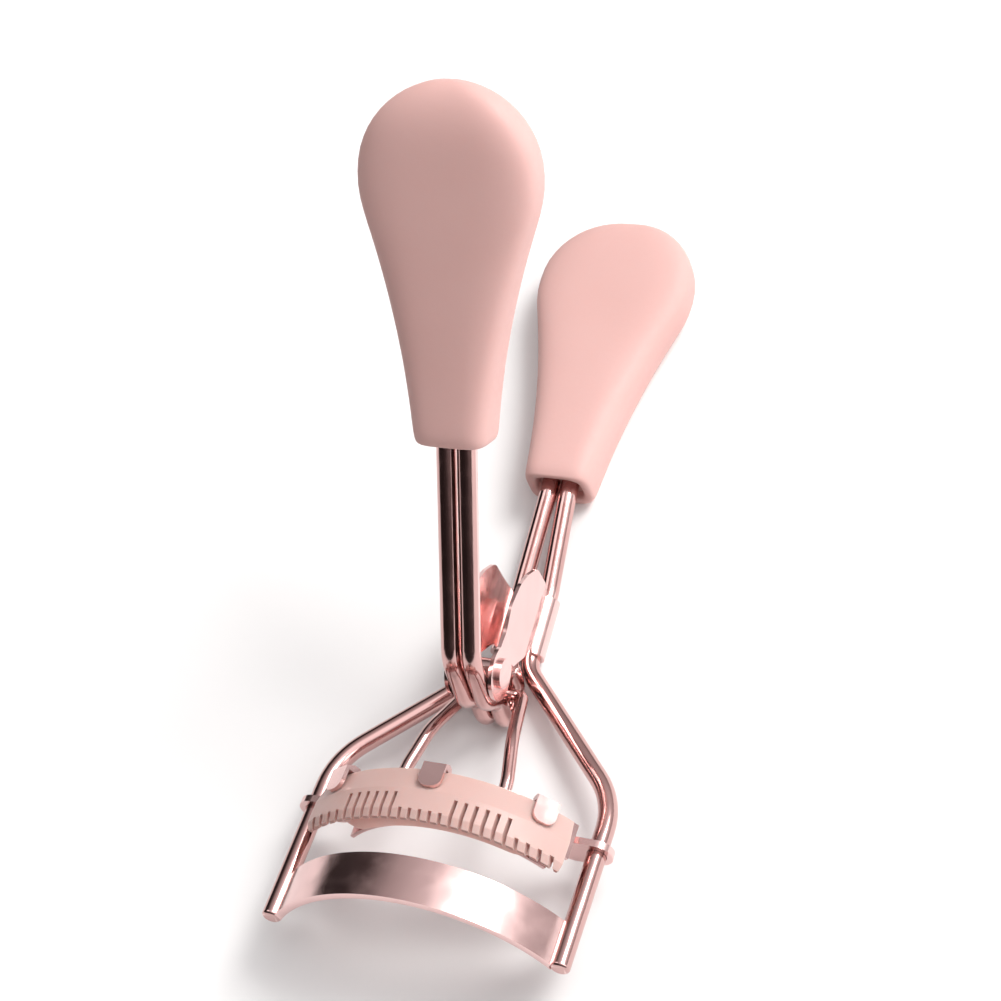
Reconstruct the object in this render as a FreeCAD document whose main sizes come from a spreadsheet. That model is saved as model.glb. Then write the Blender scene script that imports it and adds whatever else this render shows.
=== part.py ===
"""Eyelash curler: wire frame with a curved jaw, a lever with two moulded grips, and a sliding comb jaw.

Two local frames are used besides the row frame (X jaw width, Y along the rear handle, Z up):
  rail frame    x across, v along the rails from their tips, w out of the rail plane to the front
  handle frame  x across, s along the rear handle from the neck, h above its axis
The rail frame is the handle frame tipped about X at the neck.
"""
import FreeCAD, Part
import math
import os
import Sketcher
from FreeCAD import Placement, Rotation, Vector

doc = FreeCAD.newDocument("EyelashCurler")

# Driving dimensions, in millimetres and degrees.
SIZES = {
    # wire frame
    "wire_dia": 2.34, "rail_gap_half": 17.7, "rail_tip": -0.85, "shoulder_v": 21.4, "shoulder_bend": 10.0,
    "neck_half": 1.85, "neck_v": 38.16, "neck_bend": 4.0, "neck_tilt": 10.4, "neck_run": 10.4,
    "tang_half": 1.25, "tang_length": 15.0, "mouth_s": 24.2, "mouth_rise": 1.85, "neck_curve": 12.0,
    "tang_curve": 30.0, "wire_end_round": 0.35,
    # jaws: concentric arcs about an axis along the rails
    "jaw_axis_w": -10.8, "bar_radius": 20.6, "bar_sheet": 1.0, "bar_height": 5.52, "bar_span": 58.0,
    "bar_flange": 4.6, "bar_flange_sheet": 0.8,
    "plate_radius": 20.6, "plate_sheet": 0.5, "plate_low": 11.5, "plate_top": 16.0, "plate_span": 49.0,
    "channel_radius": 16.2, "channel_top": 14.05,
    "comb_radius": 21.9, "comb_sheet": 1.2, "comb_low": 8.9, "comb_crease": 12.6, "comb_top": 15.6,
    "comb_span": 46.0, "comb_slope": 0.6, "slot_pitch": 1.22, "slot_width": 0.45,
    "slot_long": 3.1, "slot_short": 1.1, "slot_depth": 1.5, "tab_place": 35.5, "tab_width": 2.8,
    "tab_sheet": 0.5, "tab_low": 12.9, "tab_corner": 1.1,
    "pad_low": 10.4, "pad_span": 46.0, "pad_gap": 0.05,
    # rail collars
    "collar_v": 14.5, "collar_height": 0.9, "collar_radius": 1.95, "collar_slack": 0.06,
    "collar_reach_x": 14.9, "collar_reach_w": 0.1,
    # push rod
    "rod_dia": 1.6, "axle_v": 32.6, "axle_w": 2.2, "axle_half": 3.3, "rod_root_x": 6.6, "rod_root_w": 4.7,
    "rod_knee_x": 6.25, "rod_knee_v": 19.2, "rod_knee_w": 4.9,
    "rod_waist_x": 5.15, "rod_waist_v": 24.6, "rod_waist_w": 5.0, "rod_bend": 8.0, "rod_corner": 1.0,
    # pivot and bracket
    "pivot_v": 30.5, "pivot_w": 9.7, "pin_dia": 2.2, "pin_head_dia": 3.6, "pin_head": 0.45,
    "bush_dia": 3.2, "bush_bore": 2.3, "bush_half": 2.1, "washer_dia": 3.0, "washer_slack": 0.03,
    "bracket_sheet": 0.45, "bracket_fit": 0.03, "bracket_start": 1.6, "bracket_end": 9.4,
    "ear_lobe": 3.3, "ear_half": 2.95, "ear_root": 5.2, "sleeve_wrap": 72.0, "sleeve_lip": 2.6,
    "ear_corner": 2.2,
    # lever
    "lever_dia": 2.3, "lever_half": 1.25, "lever_rise": 57.9, "lever_mouth_v": 41.94, "lever_mouth_w": 37.55,
    "lever_bend": 6.0, "arm_bend": 3.0, "arm_top_w": 7.4, "arm_foot_w": 4.2, "braze": 0.03,
    "hook_radius": 2.5, "hook_v": 32.8, "hook_w": 1.4, "hook_end": 4.2,
    # grips
    "grip_length": 41.0, "front_length": 40.2, "grip_half": 10.6, "grip_mouth_half": 4.3,
    "grip_mouth_thick": 7.4, "grip_end_thick": 6.8, "grip_flare": 5.0, "grip_edge": 1.7,
    "core_half": 2.95, "core_thick": 4.6, "core_corner": 1.0, "core_length": 16.0, "core_recess": 1.2,
    "core_gap": 0.04, "core_wire_fit": 0.02,
}
# Corners of the bracket's ear, in the handle frame, from its heel round to its throat.
EAR_CORNERS = (
    ("heel", 9.4, 4.6), ("tip", 9.3, 9.0), ("back", 7.2, 11.3), ("crown", 5.0, 12.8), ("brow", 1.8, 13.7),
    ("nose", -1.4, 13.0), ("bridge", -3.6, 13.4), ("lip", -3.4, 7.9), ("chin", -1.8, 6.2),
    ("throat", 1.0, 3.4))
for corner, along, height in EAR_CORNERS:
    SIZES["ear_%s_s" % corner] = along
    SIZES["ear_%s_h" % corner] = height
sheet = doc.addObject("Spreadsheet::Sheet", "Sizes")
for line, (alias, value) in enumerate(SIZES.items(), start=1):
    sheet.set("A%d" % line, alias)
    sheet.set("B%d" % line, "%g" % value)
    sheet.setAlias("B%d" % line, alias)
doc.recompute()


def size(alias):
    """The number in the sheet's cell of that name."""
    return float(getattr(sheet, alias))


wire_r = size("wire_dia") / 2
neck_v = size("neck_v")
tilt = math.radians(size("neck_tilt"))

# The curler lies on the front edge of its bracket's back and on the edge of the rear grip's mouth, so the
# handle is tipped up slightly from the table. The row's origin is on the table, below the middle of the
# object's length, which runs from the rail tips to the rear grip's end.
bracket_depth = wire_r + size("bracket_fit") + size("bracket_sheet")
tip_s = (size("rail_tip") - neck_v) * math.cos(tilt) - wire_r * math.sin(tilt)
end_s = size("mouth_s") + size("grip_length")
neck_y = -(tip_s + end_s) / 2
mouth_depth = size("grip_mouth_thick") / 2 - size("mouth_rise")
rest_tip = math.atan((mouth_depth - bracket_depth) / (size("mouth_s") - size("bracket_start")))
rest_height = bracket_depth * math.cos(rest_tip) - size("bracket_start") * math.sin(rest_tip)
HANDLE = Placement(Vector(0, neck_y, rest_height), Rotation(Vector(1, 0, 0), math.degrees(rest_tip)))
RAIL = HANDLE.multiply(Placement(Vector(), Rotation(Vector(1, 0, 0), -size("neck_tilt")))).multiply(
    Placement(Vector(0, -neck_v, 0), Rotation()))
rise = math.radians(size("lever_rise"))
LEVER_GRIP = RAIL.multiply(Placement(
    Vector(0, size("lever_mouth_v"), size("lever_mouth_w")), Rotation(Vector(1, 0, 0), size("lever_rise"))))
REAR_GRIP = HANDLE.multiply(Placement(Vector(0, size("mouth_s"), size("mouth_rise")), Rotation()))
nodes = {}


def keep(obj, label):
    """Name a finished sub-part, which also names its file."""
    obj.Label = label
    nodes[label] = obj
    return obj


def feature(shape, label, placement=None):
    """A sub-part whose shape was made with Part's own functions."""
    obj = doc.addObject("Part::Feature", label)
    obj.Shape = shape
    if placement is not None:
        obj.Placement = placement
    return keep(obj, label)


def new_body(label, placement):
    body = doc.addObject("PartDesign::Body", label)
    body.Placement = placement
    return body


def new_sketch(body, role, name, offset=0.0):
    """A sketch on one of the body's own origin planes, moved along that plane's normal."""
    sketch = body.newObject("Sketcher::SketchObject", name)
    plane = [item for item in body.Origin.OriginFeatures if item.Role == role][0]
    sketch.AttachmentSupport = [(plane, "")]
    sketch.MapMode = "FlatFace"
    sketch.AttachmentOffset = Placement(Vector(0, 0, offset), Rotation())
    return sketch


def pad(body, sketch, name, length, midplane=False, reverse=False):
    """A pad whose length is an expression in the sheet's cells."""
    item = body.newObject("PartDesign::Pad", name)
    item.Profile = sketch
    item.setExpression("Length", length)
    item.Midplane = midplane
    item.Reversed = reverse
    return item


def pocket(body, sketch, name, length, midplane=False, reverse=False):
    item = body.newObject("PartDesign::Pocket", name)
    item.Profile = sketch
    item.setExpression("Length", length)
    item.Midplane = midplane
    item.Reversed = reverse
    return item


def rounded_path(points, radii):
    """A wire of straight runs joined by tangent arcs, one radius for each inner corner."""
    edges = []
    start = points[0]
    for before, corner, after, radius in zip(points, points[1:], points[2:], radii):
        to_before = (before - corner).normalize()
        to_after = (after - corner).normalize()
        turn = math.pi - to_before.getAngle(to_after)
        reach = radius * math.tan(turn / 2)
        enter = corner + to_before * reach
        leave = corner + to_after * reach
        inward = (to_before + to_after).normalize()
        middle = corner + inward * (radius / math.cos(turn / 2) - radius)
        edges.append(Part.makeLine(start, enter))
        edges.append(Part.Arc(enter, middle, leave).toShape())
        start = leave
    edges.append(Part.makeLine(start, points[-1]))
    return Part.Wire(edges)


def bent_wire(points, radii, diameter, end_round=0.0):
    """A round wire bent along the path, with its sharp end edges broken."""
    path = rounded_path(points, radii)
    heading = (points[1] - points[0]).normalize()
    profile = Part.Wire([Part.makeCircle(diameter / 2, points[0], heading)])
    solid = path.makePipeShell([profile], True, False)
    if end_round:
        caps = [edge for edge in solid.Edges
                if edge.Length < math.pi * diameter * 1.01 and len(edge.Vertexes) == 1
                and any((edge.CenterOfMass - point).Length < 0.01 for point in (points[0], points[-1]))]
        solid = solid.makeFillet(end_round, caps)
    return solid


def outline(sketch, corners):
    """A closed polygon whose corner coordinates are expressions in the sheet's cells."""
    places = [Vector(float(sheet.evalExpression(x)), float(sheet.evalExpression(y)), 0) for x, y in corners]
    count = len(places)
    first = sketch.GeometryCount
    for index, place in enumerate(places):
        sketch.addGeometry(Part.LineSegment(place, places[(index + 1) % count]), False)
    for index in range(count):
        following = first + (index + 1) % count
        sketch.addConstraint(Sketcher.Constraint("Coincident", first + index, 2, following, 1))
    for index, (x, y) in enumerate(corners):
        for kind, text, value in (("DistanceX", x, places[index].x), ("DistanceY", y, places[index].y)):
            number = sketch.addConstraint(Sketcher.Constraint(kind, -1, 1, first + index, 1, value))
            sketch.setExpression("Constraints[%d]" % number, text)


def circle(sketch, x, y, radius):
    """A circle whose centre and radius are expressions in the sheet's cells."""
    place = Vector(float(sheet.evalExpression(x)), float(sheet.evalExpression(y)), 0)
    width = float(sheet.evalExpression(radius))
    item = sketch.addGeometry(Part.Circle(place, Vector(0, 0, 1), width), False)
    number = sketch.addConstraint(Sketcher.Constraint("Radius", item, width))
    sketch.setExpression("Constraints[%d]" % number, radius)
    for kind, text, value in (("DistanceX", x, place.x), ("DistanceY", y, place.y)):
        number = sketch.addConstraint(Sketcher.Constraint(kind, -1, 1, item, 3, value))
        sketch.setExpression("Constraints[%d]" % number, text)


def jaw_strip(label, sections, span):
    """A curved jaw piece: outlines in (v, radius) turned about the jaw axis, span degrees each side."""
    body = new_body(label, JAW)
    for number, section in enumerate(sections, start=1):
        sketch = new_sketch(body, "YZ_Plane", "%s_section_%d" % (label, number))
        outline(sketch, section)
        doc.recompute()
        turned = body.newObject("PartDesign::Revolution", "%s_turn_%d" % (label, number))
        turned.Profile = sketch
        turned.ReferenceAxis = (sketch, ["H_Axis"])
        turned.setExpression("Angle", "2 * " + span)
        turned.Midplane = True
        doc.recompute()
    return body


def edge_names(shape, wanted):
    return ["Edge%d" % number for number, edge in enumerate(shape.Edges, start=1) if wanted(edge)]


def fillet(body, name, radius, wanted):
    """Round the edges of the body's tip that the test picks."""
    base = body.Tip
    item = body.newObject("PartDesign::Fillet", name)
    item.Base = (base, edge_names(base.Shape, wanted))
    item.setExpression("Radius", radius)
    doc.recompute()
    return item


def cut_away(label, base, tools):
    """A sub-part that is a finished body less the tools."""
    tool = tools[0]
    if len(tools) > 1:
        tool = doc.addObject("Part::MultiFuse", label + "_tools")
        tool.Shapes = tools
    item = doc.addObject("Part::Cut", label)
    item.Base = base
    item.Tool = tool
    doc.recompute()
    return keep(item, label)


def rail_cylinder(name, side, radius):
    """A cylinder along one rail, used to shape what fits against it."""
    tool = doc.addObject("Part::Cylinder", name)
    tool.setExpression("Radius", radius)
    tool.setExpression("Height", "Sizes.shoulder_v")
    tool.Placement = RAIL.multiply(Placement(
        Vector(side * size("rail_gap_half"), size("rail_tip") - 1, 0), Rotation(Vector(1, 0, 0), -90)))
    return tool


JAW = RAIL.multiply(Placement(Vector(0, 0, size("jaw_axis_w")), Rotation()))
SIDES = (("left", -1), ("right", 1))

# --- fixed frame: two bent wires, each a rail, a shoulder, the neck and a tang inside the rear grip ---
to_rail = RAIL.inverse().multiply(HANDLE)
for side_name, side in SIDES:
    run_end = to_rail.multVec(Vector(side * size("neck_half"), size("neck_run"), 0))
    mouth = to_rail.multVec(Vector(side * size("tang_half"), size("mouth_s"), size("mouth_rise")))
    tang_end = to_rail.multVec(
        Vector(side * size("tang_half"), size("mouth_s") + size("tang_length"), size("mouth_rise")))
    route = [
        Vector(side * size("rail_gap_half"), size("rail_tip"), 0),
        Vector(side * size("rail_gap_half"), size("shoulder_v"), 0),
        Vector(side * size("neck_half"), neck_v, 0), run_end, mouth, tang_end]
    radii = [size("shoulder_bend"), size("neck_bend"), size("neck_curve"), size("tang_curve")]
    wire = bent_wire(route, radii, size("wire_dia"), size("wire_end_round"))
    feature(wire, "frame_wire_" + side_name, RAIL)

# --- lower jaw bar: a face strip with a flange turned back under the pad, coped round both rails ---
bar_top = "Sizes.rail_tip + Sizes.bar_height"
bar = jaw_strip("lower_jaw_strip", [
    [("Sizes.rail_tip", "Sizes.bar_radius - Sizes.bar_sheet"), ("Sizes.rail_tip", "Sizes.bar_radius"),
     (bar_top, "Sizes.bar_radius"), (bar_top, "Sizes.bar_radius - Sizes.bar_sheet")],
    [(bar_top + " - Sizes.bar_flange_sheet", "Sizes.bar_radius - Sizes.bar_flange"),
     (bar_top + " - Sizes.bar_flange_sheet", "Sizes.bar_radius - 0.5 * Sizes.bar_sheet"),
     (bar_top, "Sizes.bar_radius - 0.5 * Sizes.bar_sheet"),
     (bar_top, "Sizes.bar_radius - Sizes.bar_flange")],
], "Sizes.bar_span")
cut_away("lower_jaw_bar", bar, [
    rail_cylinder("bar_cope_" + side_name, side, "Sizes.wire_dia / 2") for side_name, side in SIDES])

# --- upper jaw plate: a channel for the pad, a wall behind the comb and three tabs over the comb ---
wall_inner = "Sizes.plate_radius - Sizes.plate_sheet"
plate = jaw_strip("upper_jaw_channel", [
    [("Sizes.plate_low", wall_inner), ("Sizes.plate_low", "Sizes.plate_radius"),
     ("Sizes.plate_top", "Sizes.plate_radius"), ("Sizes.plate_top", wall_inner)],
    [("Sizes.channel_top - Sizes.plate_sheet", "Sizes.channel_radius - Sizes.plate_sheet"),
     ("Sizes.channel_top - Sizes.plate_sheet", wall_inner + " + 0.2"),
     ("Sizes.channel_top", wall_inner + " + 0.2"),
     ("Sizes.channel_top", "Sizes.channel_radius - Sizes.plate_sheet")],
    [("Sizes.plate_low", "Sizes.channel_radius - Sizes.plate_sheet"),
     ("Sizes.plate_low", "Sizes.channel_radius"),
     ("Sizes.channel_top - 0.2", "Sizes.channel_radius"),
     ("Sizes.channel_top - 0.2", "Sizes.channel_radius - Sizes.plate_sheet")],
], "Sizes.plate_span")
tabs = []
for tab_name, angle in (("left", -size("tab_place")), ("centre", 0), ("right", size("tab_place"))):
    radial = JAW.multiply(Placement(Vector(), Rotation(Vector(0, 1, 0), angle)))
    tab = new_body("tab_" + tab_name, radial)
    side_view = new_sketch(tab, "YZ_Plane", "tab_%s_side" % tab_name)
    outline(side_view, [
        ("Sizes.plate_top - Sizes.tab_sheet", wall_inner),
        ("Sizes.plate_top", wall_inner),
        ("Sizes.plate_top + Sizes.tab_sheet", wall_inner + " + Sizes.tab_sheet"),
        ("Sizes.plate_top + Sizes.tab_sheet", "Sizes.comb_radius + Sizes.pad_gap - 0.5"),
        ("Sizes.plate_top", "Sizes.comb_radius + Sizes.pad_gap + Sizes.tab_sheet"),
        ("Sizes.tab_low", "Sizes.comb_radius + Sizes.pad_gap + Sizes.tab_sheet"),
        ("Sizes.tab_low", "Sizes.comb_radius + Sizes.pad_gap"),
        ("Sizes.comb_top + Sizes.pad_gap", "Sizes.comb_radius + Sizes.pad_gap"),
        ("Sizes.comb_top + Sizes.pad_gap", "Sizes.plate_radius"),
        ("Sizes.plate_top - Sizes.tab_sheet", "Sizes.plate_radius")])
    pad(tab, side_view, "tab_%s_width" % tab_name, "Sizes.tab_width", midplane=True)
    doc.recompute()
    fillet(tab, "tab_%s_tongue" % tab_name, "Sizes.tab_corner", lambda edge: edge.BoundBox.ZLength > 0.4
           and edge.BoundBox.XLength < 0.01 and edge.CenterOfMass.y < size("tab_low") + 0.01)
    tabs.append(tab)
plate_and_tabs = doc.addObject("Part::MultiFuse", "plate_and_tabs")
plate_and_tabs.Shapes = [plate] + tabs


def collar_body(label, side, extra):
    """A rail collar: a flat stadium from the rail to the jaw plate's end. extra is its margin."""
    body = new_body(label, RAIL)
    start = size("collar_v") + size("collar_height") / 2 + extra
    sketch = new_sketch(body, "XZ_Plane", label + "_outline", -start)
    eye = Vector(side * size("rail_gap_half"), 0, 0)
    root = Vector(side * size("collar_reach_x"), size("collar_reach_w"), 0)
    radius = size("collar_radius") + extra
    along = (eye - root).normalize()
    normal = Vector(-along.y, along.x, 0)
    sketch.addGeometry(Part.LineSegment(root + normal * radius, eye + normal * radius), False)
    sketch.addGeometry(Part.Arc(eye + normal * radius, eye + along * radius, eye - normal * radius), False)
    sketch.addGeometry(Part.LineSegment(eye - normal * radius, root - normal * radius), False)
    back = root - along * radius
    sketch.addGeometry(Part.Arc(root - normal * radius, back, root + normal * radius), False)
    height = body.newObject("PartDesign::Pad", label + "_height")
    height.Profile = sketch
    height.setExpression("Length", "Sizes.collar_height + %g" % (2 * extra))
    doc.recompute()
    return body


collar_seats = []
for side_name, side in SIDES:
    blank = collar_body("collar_blank_" + side_name, side, 0)
    bore = rail_cylinder("collar_bore_" + side_name, side, "Sizes.wire_dia / 2 + Sizes.collar_slack")
    cut_away("rail_collar_" + side_name, blank, [bore])
    collar_seats.append(collar_body("collar_seat_" + side_name, side, 0))
cut_away("upper_jaw_plate", plate_and_tabs, collar_seats)

# --- silicone pad in the channel, with a rounded working edge ---
pad_wall = "Sizes.channel_radius + Sizes.pad_gap"
pad_front = wall_inner + " - Sizes.pad_gap"
silicone = jaw_strip("silicone_pad", [[
    ("Sizes.channel_top - Sizes.plate_sheet - Sizes.pad_gap", pad_wall),
    ("Sizes.channel_top - Sizes.plate_sheet - Sizes.pad_gap", pad_front),
    ("Sizes.pad_low + 0.8", pad_front),
    ("Sizes.pad_low + 0.2", pad_front + " - 0.35"), ("Sizes.pad_low", pad_front + " - 0.8"),
    ("Sizes.pad_low", pad_wall + " + 0.8"), ("Sizes.pad_low + 0.2", pad_wall + " + 0.35"),
    ("Sizes.pad_low + 0.8", pad_wall)]], "Sizes.pad_span")
keep(silicone, "silicone_pad")

# --- comb: a curved wall with a sloped upper band, grooved between long and short teeth ---
comb_inner = "Sizes.comb_radius - Sizes.comb_sheet + Sizes.pad_gap"
comb_wall = jaw_strip("comb_wall", [[
    ("Sizes.comb_low + 0.5", comb_inner), ("Sizes.comb_low", "Sizes.comb_radius - 0.9"),
    ("Sizes.comb_low", "Sizes.comb_radius - 0.45"), ("Sizes.comb_low + 0.9", "Sizes.comb_radius"),
    ("Sizes.comb_crease", "Sizes.comb_radius"),
    ("Sizes.comb_top", "Sizes.comb_radius - Sizes.comb_slope"), ("Sizes.comb_top", comb_inner)]],
    "Sizes.comb_span")
slots = []
for index in range(-12, 13):
    under_tab = abs(index) <= 2 or abs(index) >= 9
    slot = doc.addObject("Part::Box", "slot_%02d" % (index + 12))
    slot.setExpression("Length", "Sizes.slot_width")
    slot.setExpression("Width", ("Sizes.slot_short" if under_tab else "Sizes.slot_long") + " + 1")
    slot.setExpression("Height", "4 * Sizes.slot_depth")
    across = index * size("slot_pitch")
    front = size("jaw_axis_w") + math.sqrt(size("comb_radius") ** 2 - across ** 2)
    corner = Vector(across - size("slot_width") / 2, size("comb_low") - 1, front - size("slot_depth"))
    slot.Placement = RAIL.multiply(Placement(corner, Rotation()))
    slots.append(slot)
for side_name, side in SIDES:
    slots.append(collar_body("comb_notch_" + side_name, side, size("pad_gap")))
cut_away("comb", comb_wall, slots)

# --- push rod: one wire bent to a V, its cross part held by the lever's hooks ---
half_route = [
    Vector(size("rod_root_x"), size("channel_top") - size("braze"), size("rod_root_w")),
    Vector(size("rod_knee_x"), size("rod_knee_v"), size("rod_knee_w")),
    Vector(size("rod_waist_x"), size("rod_waist_v"), size("rod_waist_w")),
    Vector(size("axle_half"), size("axle_v"), size("axle_w"))]
bends = [size("rod_bend"), size("rod_bend"), size("rod_corner")]
mirrored = [Vector(-place.x, place.y, place.z) for place in reversed(half_route)]
rod = bent_wire(half_route + mirrored, bends + bends[::-1], size("rod_dia"))
feature(rod, "push_rod", RAIL)

# --- pivot bracket: one sheet folded round the neck wires and pinched in again, with an ear each side ---
pivot = to_rail.inverse().multVec(Vector(0, size("pivot_v"), size("pivot_w")))


def sheet_outline(sketch, offset):
    """The fold seen along the handle; offset 0 is its outer face and the sheet's thickness its inner one."""
    radius = wire_r + size("bracket_fit") + size("bracket_sheet") - offset
    centre = Vector(size("neck_half"), 0, 0)
    wrap = math.radians(size("sleeve_wrap"))
    half = size("ear_half") - offset
    low = Vector(centre.x, -radius, 0)
    side_of = centre + Vector(radius, 0, 0)
    pinch = centre + Vector(radius * math.cos(wrap), radius * math.sin(wrap), 0)
    knee = Vector(half, size("ear_root"), 0)
    top = Vector(half, 2 * size("ear_root") + size("pivot_w"), 0)

    def flip(place):
        return Vector(-place.x, place.y, 0)

    line = Part.LineSegment
    right_side = [Part.Arc(low, side_of, pinch), line(pinch, knee), line(knee, top)]
    left_side = [line(flip(top), flip(knee)), line(flip(knee), flip(pinch)),
                 Part.Arc(flip(pinch), flip(side_of), flip(low))]
    for piece in [line(flip(low), low)] + right_side + [line(top, flip(top))] + left_side:
        sketch.addGeometry(piece, False)


fold = new_body("bracket_fold", HANDLE)
outer_face = new_sketch(fold, "XZ_Plane", "fold_outer")
sheet_outline(outer_face, 0)
pad(fold, outer_face, "fold_pad", "60", midplane=True)
doc.recompute()
inner_face = new_sketch(fold, "XZ_Plane", "fold_inner")
sheet_outline(inner_face, size("bracket_sheet"))
pocket(fold, inner_face, "fold_pocket", "60", midplane=True)
doc.recompute()
ears = new_body("bracket_sides", HANDLE)
ear_view = new_sketch(ears, "YZ_Plane", "ear_outline")
outline(ear_view, [("Sizes.bracket_start", "-Sizes.ear_lobe"), ("Sizes.bracket_end", "-Sizes.ear_lobe")]
        + [("Sizes.ear_%s_s" % corner, "Sizes.ear_%s_h" % corner) for corner, _, _ in EAR_CORNERS]
        + [("Sizes.bracket_start", "Sizes.sleeve_lip")])
pad(ears, ear_view, "ear_pad", "4 * Sizes.ear_half", midplane=True)
doc.recompute()
lobe_view = new_sketch(ears, "YZ_Plane", "ear_lobe_outline")
circle(lobe_view, "%g" % pivot.y, "%g" % pivot.z, "Sizes.ear_lobe")
pad(ears, lobe_view, "lobe_pad", "4 * Sizes.ear_half", midplane=True)
doc.recompute()
fillet(ears, "ear_corners", "Sizes.ear_corner", lambda edge: abs(edge.BoundBox.XLength - edge.Length) < 0.01
       and edge.CenterOfMass.z > 7 and edge.CenterOfMass.y > -2)
pin_view = new_sketch(ears, "YZ_Plane", "pin_holes")
circle(pin_view, "%g" % pivot.y, "%g" % pivot.z, "Sizes.pin_dia / 2")
pocket(ears, pin_view, "pin_hole_pocket", "20", midplane=True)
doc.recompute()
bracket = doc.addObject("Part::Common", "pivot_bracket")
bracket.Base = fold
bracket.Tool = ears
doc.recompute()
keep(bracket, "pivot_bracket")

# --- pivot: riveted pin, a spacer washer each side and the bush that carries the lever ---
PIVOT = RAIL.multiply(Placement(Vector(0, size("pivot_v"), size("pivot_w")), Rotation(Vector(0, 1, 0), 90)))


def round_bar(name, radius, length, offset=0.0):
    """A cylinder along the pivot axis, centred offset to the right of the middle plane."""
    item = doc.addObject("Part::Cylinder", name)
    item.setExpression("Radius", radius)
    item.setExpression("Height", length)
    doc.recompute()
    item.Placement = PIVOT.multiply(Placement(Vector(0, 0, offset - item.Height.Value / 2), Rotation()))
    return item


pin_shaft = round_bar("pin_shaft", "Sizes.pin_dia / 2", "2 * Sizes.ear_half")
pin_heads = []
for side_name, side in SIDES:
    head = round_bar("pin_head_" + side_name, "Sizes.pin_head_dia / 2", "Sizes.pin_head",
                     side * (size("ear_half") + size("pin_head") / 2))
    pin_heads.append(head)
pin = doc.addObject("Part::MultiFuse", "pivot_pin")
pin.Shapes = [pin_shaft] + pin_heads
keep(pin, "pivot_pin")
washer_inner = size("bush_half") + size("washer_slack")
washer_outer = size("ear_half") - size("bracket_sheet") - size("washer_slack")
washer_place = (washer_inner + washer_outer) / 2
washer_sheet = "%g" % (washer_outer - washer_inner)
for side_name, side in SIDES:
    disc = round_bar("washer_disc_" + side_name, "Sizes.washer_dia / 2", washer_sheet, side * washer_place)
    hole = round_bar("washer_hole_" + side_name, "Sizes.bush_bore / 2", "3", side * washer_place)
    cut_away("spacer_washer_" + side_name, disc, [hole])
bush = round_bar("bush_bar", "Sizes.bush_dia / 2", "2 * Sizes.bush_half")
bush_bore = round_bar("bush_bore_bar", "Sizes.bush_bore / 2", "3 * Sizes.bush_half")
cut_away("lever_bush", bush, [bush_bore])

# --- lever wires: straight from the grip, past the bush and round into an open hook ---
grip_heading = Vector(0, math.cos(rise), math.sin(rise))
arm_v = size("pivot_v") - size("bush_dia") / 2 - size("lever_dia") / 2 + size("braze")
hook_half = size("hook_radius")
for side_name, side in SIDES:
    across = side * size("lever_half")
    mouth = Vector(across, size("lever_mouth_v"), size("lever_mouth_w"))
    elbow = mouth - grip_heading * ((size("lever_mouth_v") - arm_v) / grip_heading.y)
    arm_near = size("hook_v") - hook_half
    arm_far = size("hook_v") + hook_half
    route = [
        mouth + grip_heading * size("tang_length"), elbow, Vector(across, arm_v, size("arm_top_w")),
        Vector(across, arm_near, size("arm_foot_w")), Vector(across, arm_near, size("hook_w") - hook_half),
        Vector(across, arm_far, size("hook_w") - hook_half), Vector(across, arm_far, size("hook_end"))]
    radii = [size("lever_bend"), size("arm_bend"), size("arm_bend"), hook_half - 0.01, hook_half - 0.01]
    wire = bent_wire(route, radii, size("lever_dia"), size("wire_end_round"))
    feature(wire, "lever_wire_" + side_name, RAIL)


# --- grips: a teardrop shell with a moulded core that holds the two wires ---
def grip_outline(sketch, length):
    """The teardrop: a mouth edge, two slightly hollow sides and a round end, symmetric about Y."""
    half = size("grip_half")
    mouth_half = size("grip_mouth_half")
    centre_y = size(length) - half
    flare = math.radians(size("grip_flare"))
    # The hollow side's radius makes it touch the round end from outside.
    reach = mouth_half ** 2 + centre_y ** 2 - half ** 2
    side_r = reach / (2 * (half - mouth_half * math.cos(flare) - centre_y * math.sin(flare)))
    side_x = mouth_half + side_r * math.cos(flare)
    side_y = -side_r * math.sin(flare)
    share = half / (half + side_r)
    touch = Vector(side_x * share, centre_y + (side_y - centre_y) * share, 0)
    start = Vector(mouth_half, 0, 0)
    chord = (start + touch) * 0.5
    toward = (chord - Vector(side_x, side_y, 0)).normalize()
    middle = Vector(side_x, side_y, 0) + toward * side_r

    def flip(place):
        return Vector(-place.x, place.y, 0)

    sketch.addGeometry(Part.LineSegment(flip(start), start), False)
    sketch.addGeometry(Part.Arc(start, middle, touch), False)
    sketch.addGeometry(Part.Arc(touch, Vector(0, centre_y + half, 0), flip(touch)), False)
    sketch.addGeometry(Part.Arc(flip(touch), flip(middle), flip(start)), False)


def is_upright(edge):
    """True for an edge that runs only through the grip's thickness."""
    return edge.BoundBox.ZLength > 0.9 * edge.Length


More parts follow.
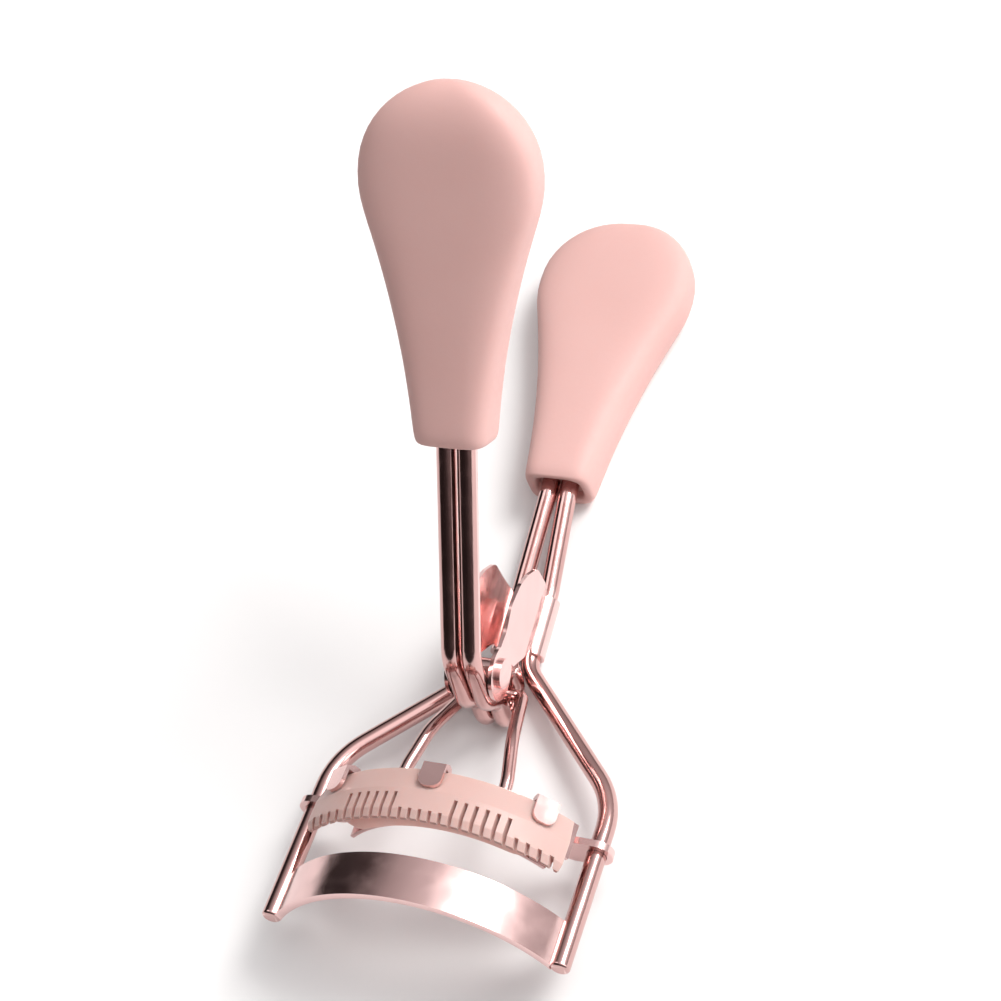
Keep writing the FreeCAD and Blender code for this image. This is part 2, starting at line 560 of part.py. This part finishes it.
def rounded_slot(sketch, inset):
    """The core's section: a rectangle with rounded corners, drawn inset from the cavity by a gap."""
    half = size("core_half") - inset
    thick = size("core_thick") / 2 - inset
    radius = size("core_corner") - inset
    diagonal = radius * math.sqrt(0.5)
    for x_sign, z_sign in ((1, 1), (-1, 1), (-1, -1), (1, -1)):
        centre = Vector(x_sign * (half - radius), z_sign * (thick - radius), 0)
        ends = [centre + Vector(x_sign * radius, 0, 0), centre + Vector(0, z_sign * radius, 0)]
        bulge = centre + Vector(x_sign * diagonal, z_sign * diagonal, 0)
        sketch.addGeometry(Part.Arc(ends[0], bulge, ends[1]), False)
    flat = half - radius
    tall = thick - radius
    for sign in (-1, 1):
        level = Part.LineSegment(Vector(-flat, sign * thick, 0), Vector(flat, sign * thick, 0))
        upright = Part.LineSegment(Vector(sign * half, -tall, 0), Vector(sign * half, tall, 0))
        sketch.addGeometry(level, False)
        sketch.addGeometry(upright, False)


def grip(prefix, placement, length, wire_dia, wire_half, flat_side):
    """Shell and core. length names a cell. flat_side, -1 or 1, stays flat while the other side tapers."""
    shell = new_body(prefix + "_grip_shell", placement)
    face = new_sketch(shell, "XY_Plane", prefix + "_grip_face")
    grip_outline(face, length)
    pad(shell, face, prefix + "_grip_pad", "Sizes.grip_mouth_thick", midplane=True)
    doc.recompute()
    taper = new_sketch(shell, "YZ_Plane", prefix + "_grip_taper")
    sign = "-" if flat_side > 0 else ""
    half_thick = "Sizes.grip_mouth_thick / 2"
    end_height = half_thick + " - Sizes.grip_mouth_thick + Sizes.grip_end_thick"
    outline(taper, [
        ("0", "%s(%s)" % (sign, half_thick)), ("Sizes." + length, "%s(%s)" % (sign, end_height)),
        ("Sizes." + length, "%s(%s + 2)" % (sign, half_thick)), ("0", "%s(%s + 2)" % (sign, half_thick))])
    pocket(shell, taper, prefix + "_grip_taper_cut", "4 * Sizes.grip_half", midplane=True)
    doc.recompute()
    fillet(shell, prefix + "_grip_edges", "Sizes.grip_edge", lambda edge: not is_upright(edge)
           and edge.BoundBox.YLength > 1)
    cavity = new_sketch(shell, "XZ_Plane", prefix + "_grip_cavity")
    rounded_slot(cavity, 0)
    pocket(shell, cavity, prefix + "_grip_pocket", "Sizes.core_recess + Sizes.core_length + Sizes.core_gap")
    doc.recompute()
    keep(shell, prefix + "_grip_shell")
    core = new_body(prefix + "_grip_core", placement)
    block = new_sketch(core, "XZ_Plane", prefix + "_core_section", -size("core_recess"))
    rounded_slot(block, size("core_gap"))
    for side in (-1, 1):
        circle(block, "%g" % (side * wire_half), "0", "%s / 2 + Sizes.core_wire_fit" % wire_dia)
    pad(core, block, prefix + "_core_pad", "Sizes.core_length", reverse=True)
    doc.recompute()
    keep(core, prefix + "_grip_core")


grip("rear", REAR_GRIP, "grip_length", "Sizes.wire_dia", size("tang_half"), -1)
grip("front", LEVER_GRIP, "front_length", "Sizes.lever_dia", size("lever_half"), 1)

# --- check everything, then write one file per sub-part ---
doc.recompute()
for obj in doc.Objects:
    if "Invalid" in obj.State or "Error" in obj.State:
        raise RuntimeError("failed object: %s %s" % (obj.Label, obj.State))
for label, obj in nodes.items():
    if obj.Shape.isNull() or not obj.Shape.isValid():
        raise RuntimeError("bad shape: " + label)
os.makedirs("parts", exist_ok=True)
for label, obj in nodes.items():
    obj.Shape.exportStep("parts/%s.step" % label)
    box = obj.Shape.BoundBox
    print("%-22s solids %d  volume %8.2f  x %.2f..%.2f  y %.2f..%.2f  z %.2f..%.2f" % (
        label, len(obj.Shape.Solids), obj.Shape.Volume, box.XMin, box.XMax, box.YMin, box.YMax,
        box.ZMin, box.ZMax))
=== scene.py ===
"""Eyelash curler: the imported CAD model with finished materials, moulded grips and a soft pad."""
import math

import bmesh
import bpy
from mathutils import Matrix, Vector


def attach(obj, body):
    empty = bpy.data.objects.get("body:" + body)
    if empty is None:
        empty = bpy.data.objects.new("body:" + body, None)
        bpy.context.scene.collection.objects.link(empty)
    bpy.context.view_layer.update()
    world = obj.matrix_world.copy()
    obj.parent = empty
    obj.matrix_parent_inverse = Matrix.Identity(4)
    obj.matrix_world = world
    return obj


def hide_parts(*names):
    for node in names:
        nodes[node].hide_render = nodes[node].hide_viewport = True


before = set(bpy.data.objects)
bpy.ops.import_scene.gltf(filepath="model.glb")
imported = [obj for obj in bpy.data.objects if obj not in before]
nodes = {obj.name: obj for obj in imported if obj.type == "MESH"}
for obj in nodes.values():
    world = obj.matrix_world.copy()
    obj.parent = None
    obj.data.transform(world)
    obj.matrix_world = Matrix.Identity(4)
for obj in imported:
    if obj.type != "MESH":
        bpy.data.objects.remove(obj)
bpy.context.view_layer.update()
MM = 0.001

CAMERA_PLACE = (0.0974, -0.12567, 0.25176)
CAMERA_AIM = (-0.348, 0.44591, -0.82488)
CAMERA_UP = (-0.101, 0.85656, 0.50535)

# --- camera: looks down on the jaws from in front and to the right ---
def look(location, forward, up):
    """A camera matrix from where it stands, the way it looks and the way that is up in the picture."""
    back = -Vector(forward).normalized()
    right = Vector(up).cross(back).normalized()
    true_up = back.cross(right)
    turn = Matrix((right, true_up, back)).transposed().to_4x4()
    return Matrix.Translation(Vector(location)) @ turn


lens = bpy.data.cameras.new("camera")
lens.lens = 85.35
lens.sensor_width = 36.0
lens.clip_start = 0.01
lens.clip_end = 10.0
camera = bpy.data.objects.new("camera", lens)
bpy.context.collection.objects.link(camera)
camera.matrix_world = look(CAMERA_PLACE, CAMERA_AIM, CAMERA_UP)
bpy.context.scene.camera = camera
bpy.context.scene.view_settings.view_transform = "Standard"


# --- materials ---
def new_material(name):
    """A material with its own shader and a helper that adds and links nodes."""
    material = bpy.data.materials.new(name)
    material.use_nodes = True
    tree = material.node_tree
    shader = tree.nodes["Principled BSDF"]

    def add(kind, links=(), **values):
        node = tree.nodes.new(kind)
        for key, value in values.items():
            node.inputs[key.replace("_", " ")].default_value = value
        for socket, source in links:
            tree.links.new(source, node.inputs[socket])
        return node

    return material, tree, shader, add


def ramp(add, source, stops):
    """A colour ramp over a 0 to 1 value; stops are (place, grey or colour)."""
    node = add("ShaderNodeValToRGB", [("Fac", source)])
    ends = node.color_ramp.elements
    while len(ends) < len(stops):
        ends.new(0.5)
    for end, (place, value) in zip(ends, stops):
        end.position = place
        end.color = (value, value, value, 1) if isinstance(value, float) else (*value, 1)
    return node


def mixed(tree, fac, base, colour):
    """Blends from the base socket to a plain colour by a 0 to 1 socket."""
    node = tree.nodes.new("ShaderNodeMixRGB")
    tree.links.new(fac, node.inputs["Fac"])
    tree.links.new(base, node.inputs["Color1"])
    node.inputs["Color2"].default_value = (*colour, 1)
    return node.outputs["Color"]


def plated_metal(name, colour, rough, edge_highlight_colour, crease_shade_colour):
    """Polished plating: drawn-wire haze, faint ripples, a painted highlight on convex edges and painted
    shade in hollows and creases.
    """
    material, tree, shader, add = new_material(name)
    place = add("ShaderNodeTexCoord").outputs["Object"]
    haze = add("ShaderNodeTexNoise", [("Vector", place)], Scale=420.0, Detail=4.0)
    cloud = add("ShaderNodeTexNoise", [("Vector", place)], Scale=90.0, Detail=3.0)
    wave = add("ShaderNodeTexNoise", [("Vector", place)], Scale=240.0, Detail=1.0)
    bend = add("ShaderNodeNewGeometry").outputs["Pointiness"]
    # Convex edges found by pointiness get a lighter colour: a painted highlight along the edges.
    edge_highlight_mask = ramp(add, bend, [(0.50, 0.0), (0.62, 1.0)])
    # Concave creases and hollows found by pointiness get a near-black colour: painted shade.
    crease_shade_mask = ramp(add, bend, [(0.36, 1.0), (0.47, 0.0)])
    tone = ramp(add, cloud.outputs["Fac"], [(0.3, tuple(0.86 * c for c in colour)), (0.7, colour)])
    edge_highlighted = mixed(tree, edge_highlight_mask.outputs["Color"], tone.outputs["Color"], edge_highlight_colour)
    crease_shaded = mixed(tree, crease_shade_mask.outputs["Color"], edge_highlighted, crease_shade_colour)
    tree.links.new(crease_shaded, shader.inputs["Base Color"])
    gloss = add("ShaderNodeMapRange", [("Value", haze.outputs["Fac"])], From_Min=0.3, From_Max=0.7,
                To_Min=rough * 0.6, To_Max=rough * 1.5)
    tree.links.new(gloss.outputs["Result"], shader.inputs["Roughness"])
    ripple = add("ShaderNodeBump", [("Height", wave.outputs["Fac"])], Strength=0.12, Distance=0.0004)
    grain = add("ShaderNodeBump", [("Height", haze.outputs["Fac"]), ("Normal", ripple.outputs["Normal"])],
                Strength=0.05, Distance=0.0001)
    tree.links.new(grain.outputs["Normal"], shader.inputs["Normal"])
    shader.inputs["Metallic"].default_value = 1.0
    return material


def moulded(name, colour, shade, rough, grain_size, grain_depth, subsurface):
    """Moulded plastic: slight colour drift, a fine matt texture and uneven gloss."""
    material, tree, shader, add = new_material(name)
    place = add("ShaderNodeTexCoord")
    drift = add("ShaderNodeTexNoise", [("Vector", place.outputs["Object"])], Scale=55.0, Detail=3.0)
    speck = add("ShaderNodeTexNoise", [("Vector", place.outputs["Object"])], Scale=grain_size, Detail=6.0)
    tone = ramp(add, drift.outputs["Fac"], [(0.3, shade), (0.7, colour)])
    tree.links.new(tone.outputs["Color"], shader.inputs["Base Color"])
    gloss = add("ShaderNodeMapRange", [("Value", speck.outputs["Fac"])], From_Min=0.3, From_Max=0.7,
                To_Min=rough * 0.85, To_Max=rough * 1.15)
    tree.links.new(gloss.outputs["Result"], shader.inputs["Roughness"])
    skin = add("ShaderNodeBump", [("Height", speck.outputs["Fac"])], Strength=0.25, Distance=grain_depth)
    tree.links.new(skin.outputs["Normal"], shader.inputs["Normal"])
    shader.inputs["IOR"].default_value = 1.46
    shader.inputs["Subsurface Weight"].default_value = subsurface
    shader.inputs["Subsurface Radius"].default_value = (1.0, 0.45, 0.35)
    shader.inputs["Subsurface Scale"].default_value = 0.002
    return material


# The last two colours of each plating are the painted edge highlight and the painted crease shade.
rose = plated_metal("rose_plating", (0.54, 0.32, 0.31), 0.17, (0.84, 0.58, 0.56), (0.12, 0.06, 0.06))
rose_wire = plated_metal("rose_wire", (0.63, 0.38, 0.36), 0.12, (0.84, 0.62, 0.60), (0.15, 0.08, 0.08))
rose_pin = plated_metal("rose_pin", (0.56, 0.34, 0.33), 0.20, (0.84, 0.58, 0.56), (0.12, 0.06, 0.06))
pink = moulded("pink_grip", (0.71, 0.44, 0.41), (0.68, 0.41, 0.38), 0.60, 1500.0, 0.00005, 0.10)
# The grip cores use the grip plastic darkened: painted shade for the inside of the hollow grip mouths.
pink_core = moulded("pink_core", (0.52, 0.27, 0.24), (0.46, 0.23, 0.20), 0.6, 1500.0, 0.00005, 0.1)
comb_plastic = moulded("comb_plastic", (0.62, 0.42, 0.385), (0.58, 0.385, 0.35), 0.40, 900.0, 0.00004, 0.3)
rubber = moulded("silicone", (0.86, 0.56, 0.50), (0.83, 0.52, 0.46), 0.5, 1200.0, 0.00003, 0.4)

FINISH = {
    "frame_wire_left": rose_wire, "frame_wire_right": rose_wire, "lower_jaw_bar": rose,
    "pivot_bracket": rose, "pivot_pin": rose_pin, "spacer_washer_left": rose_pin,
    "spacer_washer_right": rose_pin, "rear_grip_shell": pink, "rear_grip_core": pink_core,
    "lever_wire_left": rose_wire, "lever_wire_right": rose_wire, "lever_bush": rose_pin,
    "front_grip_shell": pink, "front_grip_core": pink_core, "upper_jaw_plate": rose,
    "rail_collar_left": rose, "rail_collar_right": rose, "push_rod": rose_wire, "comb": comb_plastic,
    "silicone_pad": rubber}
for name, material in FINISH.items():
    nodes[name].data.materials.clear()
    nodes[name].data.materials.append(material)


# --- moulded grips: lofted teardrops with crowned faces, in place of the plain shells ---
def ring(bm, points):
    """A closed ring of new vertices."""
    return [bm.verts.new(point) for point in points]


def bridge(bm, rings):
    """Faces between each ring and the next."""
    for near, far in zip(rings, rings[1:]):
        count = len(near)
        for index in range(count):
            following = (index + 1) % count
            bm.faces.new((near[index], near[following], far[following], far[index]))


def finish_mesh(name, bm, material, body, node):
    """Turns the bmesh into a smooth object that rides on a body and stands for a CAD node."""
    bmesh.ops.recalc_face_normals(bm, faces=bm.faces)
    mesh = bpy.data.meshes.new(name)
    bm.to_mesh(mesh)
    bm.free()
    mesh.polygons.foreach_set("use_smooth", [True] * len(mesh.polygons))
    mesh.materials.append(material)
    piece = bpy.data.objects.new(name, mesh)
    bpy.context.collection.objects.link(piece)
    smooth = piece.modifiers.new("smooth", "SUBSURF")
    smooth.levels = 1
    smooth.render_levels = 1
    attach(piece, body)
    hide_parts(node)
    return piece


MOUTH_THICK, END_THICK = 7.4, 6.8
MOUTH_HALF, END_HALF = 4.3, 10.6
END_ROUND = 7.0
OUTLINE_POINTS = 40
HOLLOW = ((0.0, 3.5, 2.85), (0.12, 3.1, 2.45), (0.6, 2.98, 2.33), (1.5, 2.96, 2.31), (3.0, 2.9, 2.3))


def grip_width(along, length):
    """Half the grip's width: a hollow flare from the mouth, then the round end."""
    flare = math.radians(5.0)
    centre = length - END_HALF
    reach = MOUTH_HALF ** 2 + centre ** 2 - END_HALF ** 2
    side_r = reach / (2 * (END_HALF - MOUTH_HALF * math.cos(flare) - centre * math.sin(flare)))
    side_x = MOUTH_HALF + side_r * math.cos(flare)
    side_y = -side_r * math.sin(flare)
    touch = centre + (side_y - centre) * END_HALF / (END_HALF + side_r)
    if along < touch:
        return side_x - math.sqrt(side_r ** 2 - (along - side_y) ** 2)
    return math.sqrt(max(END_HALF ** 2 - (along - centre) ** 2, 0.0))


def crowned(across, front, back, power):
    """A flattened oval: width across, height front above and back below the middle plane."""
    points = []
    for index in range(OUTLINE_POINTS):
        turn = 2 * math.pi * index / OUTLINE_POINTS
        x = math.copysign(abs(math.cos(turn)) ** (2 / power), math.cos(turn))
        z = math.copysign(abs(math.sin(turn)) ** (2 / power), math.sin(turn))
        points.append((across * x, (front if z > 0 else back) * z))
    return points


def moulded_grip(name, place, length, flat_side, body, node):
    """One grip; place takes (x, along, height) in millimetres to the row frame."""
    bm = bmesh.new()
    stations = [0.0, 0.25, 0.9, 2.5] + [2.5 + 2.6 * step for step in range(1, 11)]
    end_angles = (8, 22, 36, 50, 63, 74, 83)
    stations += [length - 10.0 + 10.0 * math.sin(math.radians(angle)) for angle in end_angles]
    middle = MOUTH_THICK / 2
    lift = END_THICK * 0.5 - middle
    rings = []
    for along in stations:
        width = grip_width(along, length)
        slope = MOUTH_THICK - (MOUTH_THICK - END_THICK) * (along / length) - middle
        end = max(0.0, along - (length - END_ROUND)) / END_ROUND
        squeeze = math.sqrt(max(1.0 - 0.96 * end ** 2.4, 0.02))
        centre = lift * end
        front = (slope - centre) * squeeze
        back = (middle + centre) * squeeze
        if along < 0.3:
            width, front, back = width - 0.35 * (1 - along / 0.3), front - 0.35, back - 0.35
        power = 3.7 + 0.3 * max(0.0, 1 - along / 9.0)
        oval = crowned(width, front, back, power)
        rings.append(ring(bm, [place(x, along, -flat_side * (z + centre)) for x, z in oval]))
    cap = bm.verts.new(place(0.0, length - 0.02, -flat_side * lift))
    last = rings[-1]
    for index, vert in enumerate(last):
        bm.faces.new((vert, last[(index + 1) % len(last)], cap))
    hollow = []
    for depth, half, tall in HOLLOW:
        oval = crowned(half, tall, tall, 3.6)
        hollow.append(ring(bm, [place(x, depth, -flat_side * z) for x, z in oval]))
    bridge(bm, rings)
    bridge(bm, [rings[0]] + hollow)
    return finish_mesh(name, bm, pink, body, node)


REST_TIP = math.radians(0.507)
RAIL_TILT = math.radians(10.4) - REST_TIP
NECK_Y, NECK_Z, NECK_V = -13.3098, 1.6358, 38.16
LEVER_RISE = math.radians(57.9) - RAIL_TILT
REAR_MOUTH, MOUTH_RISE = 24.2, 1.85
LEVER_MOUTH = (41.94, 37.55)


def rear_place(x, along, height):
    """Rear grip: its back lies on the table at the mouth's edge."""
    c, s = math.cos(REST_TIP), math.sin(REST_TIP)
    along, height = along + REAR_MOUTH, height + MOUTH_RISE
    return Vector((x, NECK_Y + c * along - s * height, NECK_Z + s * along + c * height)) * MM


def rail_place(x, along, front):
    """A point of the rail frame, in millimetres, as a row-frame point in metres."""
    c, s = math.cos(RAIL_TILT), math.sin(RAIL_TILT)
    run = along - NECK_V
    return Vector((x, c * run + s * front + NECK_Y, c * front - s * run + NECK_Z)) * MM


def front_place(x, along, height):
    """Front grip: along the lever, its back towards the rear handle."""
    mouth = rail_place(0, *LEVER_MOUTH) / MM
    c, s = math.cos(LEVER_RISE), math.sin(LEVER_RISE)
    return Vector((x, mouth.y + c * along - s * height, mouth.z + s * along + c * height)) * MM


moulded_grip("rear_grip_skin", rear_place, 41.0, -1, "frame", "rear_grip_shell")
moulded_grip("front_grip_skin", front_place, 40.2, 1, "lever", "front_grip_shell")

# --- silicone pad: a soft strip with a domed working edge that curves up at its ends ---
JAW_AXIS_W = -10.8
PAD_RADIUS, PAD_MIDDLE, PAD_TOP = 18.15, 11.9, 13.4
PAD_SPAN = 41.5
PAD_STEPS, END_STEPS = 24, 6
bm = bmesh.new()
section = [(13.45, 16.32), (13.5, 18.15), (13.45, 19.98), (12.4, 20.02), (11.6, 20.00), (11.0, 19.85),
           (10.62, 19.45), (10.46, 18.85), (10.42, 18.15), (10.46, 17.45), (10.62, 16.85), (11.0, 16.45),
           (11.6, 16.30), (12.4, 16.28)]
rings = []
for step in range(-PAD_STEPS, PAD_STEPS + 1):
    angle = math.radians(PAD_SPAN * step / PAD_STEPS)
    end = 1.0 if abs(step) < PAD_STEPS else 0.93
    lift = 0.45 * (max(0.0, abs(step) - (PAD_STEPS - END_STEPS)) / END_STEPS) ** 2
    points = []
    for v, radius in section:
        reach = PAD_RADIUS + (radius - PAD_RADIUS) * end
        raised = v + (PAD_TOP - v) * lift
        points.append(rail_place(reach * math.sin(angle), PAD_MIDDLE + (raised - PAD_MIDDLE) * end,
                                 JAW_AXIS_W + reach * math.cos(angle)))
    rings.append(ring(bm, points))
bridge(bm, rings)
bm.faces.new(rings[0])
bm.faces.new(rings[-1])
pad = finish_mesh("silicone_strip", bm, rubber, "jaw", "silicone_pad")

# --- table and light ---
floor_material, _, floor_shader, _ = new_material("table")
floor_shader.inputs["Base Color"].default_value = (0.93, 0.93, 0.93, 1)
floor_shader.inputs["Roughness"].default_value = 0.6
bpy.ops.mesh.primitive_plane_add(size=6.0, location=(0, 0, -0.0001))
table = bpy.context.object
table.name = "table"
table.data.materials.append(floor_material)

world = bpy.data.worlds.new("room")
bpy.context.scene.world = world
world.use_nodes = True
sky = world.node_tree
toward = sky.nodes.new("ShaderNodeVectorMath")
toward.operation = "DOT_PRODUCT"
toward.inputs[1].default_value = (0.50, 0.25, 0.83)
sky.links.new(sky.nodes.new("ShaderNodeTexCoord").outputs["Generated"], toward.inputs[0])
bands = sky.nodes.new("ShaderNodeValToRGB")
sky.links.new(toward.outputs["Value"], bands.inputs["Fac"])
stops = bands.color_ramp.elements
for _ in range(3):
    stops.new(0.5)
for stop, (level, colour) in zip(stops, [
        (0.0, (0.015, 0.012, 0.012)), (0.28, (0.035, 0.028, 0.028)), (0.52, (0.24, 0.22, 0.22)),
        (0.80, (0.42, 0.40, 0.40)), (0.92, (1.0, 1.0, 1.0))]):
    stop.position = level
    stop.color = (*colour, 1)
sky.links.new(bands.outputs["Color"], sky.nodes["Background"].inputs["Color"])
sky.nodes["Background"].inputs["Strength"].default_value = 1.7


def softbox(name, place, size, power, colour=(1, 1, 1)):
    """A soft rectangular light aimed at the object."""
    light = bpy.data.lights.new(name, "AREA")
    light.shape = "RECTANGLE"
    light.size, light.size_y = size
    light.energy = power
    light.color = colour
    lamp = bpy.data.objects.new(name, light)
    bpy.context.collection.objects.link(lamp)
    lamp.location = place
    aim = Vector((0, 0, 0.01)) - Vector(place)
    lamp.rotation_mode = "QUATERNION"
    lamp.rotation_quaternion = aim.to_track_quat("-Z", "Y")


softbox("key", (0.45, 0.38, 0.68), (0.36, 0.36), 5.4, (1.0, 0.98, 0.96))
softbox("side", (0.75, -0.10, 0.35), (0.25, 0.6), 1.2)
softbox("fill", (-0.55, 0.10, 0.80), (0.50, 0.50), 1.2)

bpy.context.view_layer.update()
